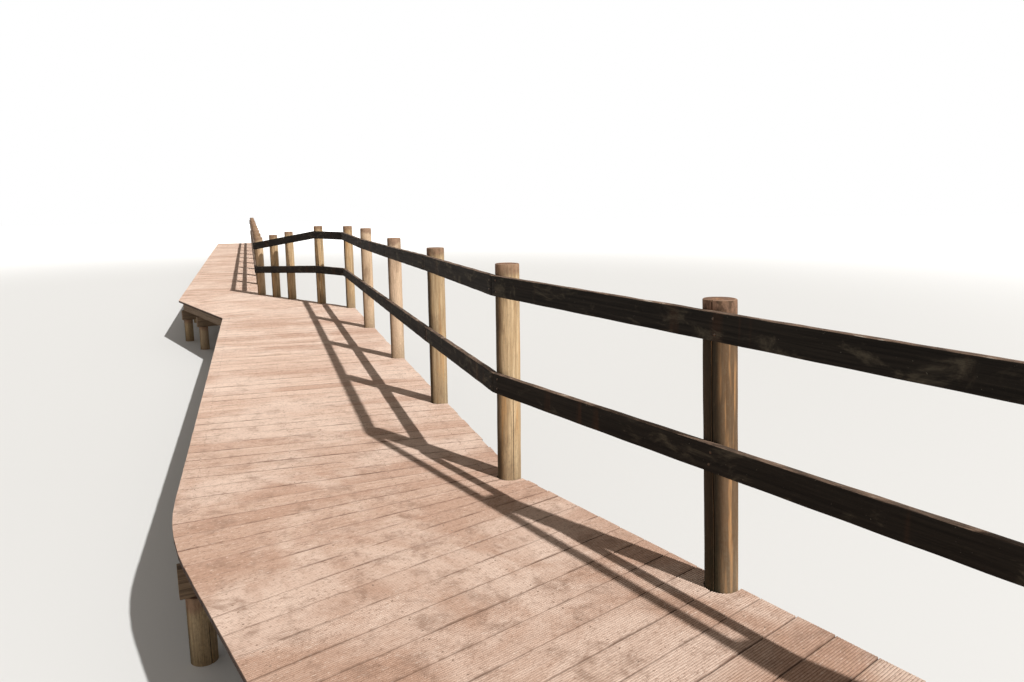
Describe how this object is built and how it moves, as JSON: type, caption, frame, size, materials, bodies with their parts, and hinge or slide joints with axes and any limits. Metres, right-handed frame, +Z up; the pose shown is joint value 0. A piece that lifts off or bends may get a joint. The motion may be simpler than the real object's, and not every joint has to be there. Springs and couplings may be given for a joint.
{
  "type": "boardwalk",
  "caption": "Raised wooden boardwalk of crosswise boards that bends to the left, with round posts and two dark plank rails along its right side.",
  "frame": {"origin": "under the middle of the whole walk, at ground level", "axes": "+Z up; +Y forward, from the near end towards the far end; +X to the right, the side with the rail"},
  "size_m": [11.6718, 27.4228, 1.685],
  "materials": {
    "deck_boards": "sun-bleached reddish-brown grooved boards",
    "round_posts": "weathered yellowish round pine with checks",
    "rail_planks": "very dark stained planks with worn edges",
    "framing": "rough sawn timber",
    "piles": "round timber",
    "fasteners": "dull weathered steel screw and nail heads"
  },
  "bodies": {
    "root": {"bend_bearers": "framing", "bend_joists": "framing", "bend_lower_rail": "rail_planks", "bend_piles": "piles", "bend_posts": "round_posts", "bend_top_rail": "rail_planks", "deck_panel_1": "deck_boards", "deck_panel_2": "deck_boards", "deck_panel_3": "deck_boards", "deck_panel_4": "deck_boards", "deck_panel_5": "deck_boards", "deck_panel_6": "deck_boards", "deck_panel_bend": "deck_boards", "far_bearers": "framing", "far_deck_panel_1": "deck_boards", "far_deck_panel_2": "deck_boards", "far_deck_panel_3": "deck_boards", "far_joists": "framing", "far_lower_rail": "rail_planks", "far_piles": "piles", "far_posts": "round_posts", "far_top_rail": "rail_planks", "lower_rail_1": "rail_planks", "lower_rail_2": "rail_planks", "lower_rail_3": "rail_planks", "lower_rail_4": "rail_planks", "lower_rail_5": "rail_planks", "near_bearers": "framing", "near_joists": "framing", "near_piles": "piles", "rail_post_1": "round_posts", "rail_post_2": "round_posts", "rail_post_3": "round_posts", "rail_post_4": "round_posts", "rail_post_5": "round_posts", "rail_post_6": "round_posts", "rail_post_7": "round_posts", "top_rail_1": "rail_planks", "top_rail_2": "rail_planks", "top_rail_3": "rail_planks", "top_rail_4": "rail_planks", "top_rail_5": "rail_planks"}
  },
  "joints": []
}
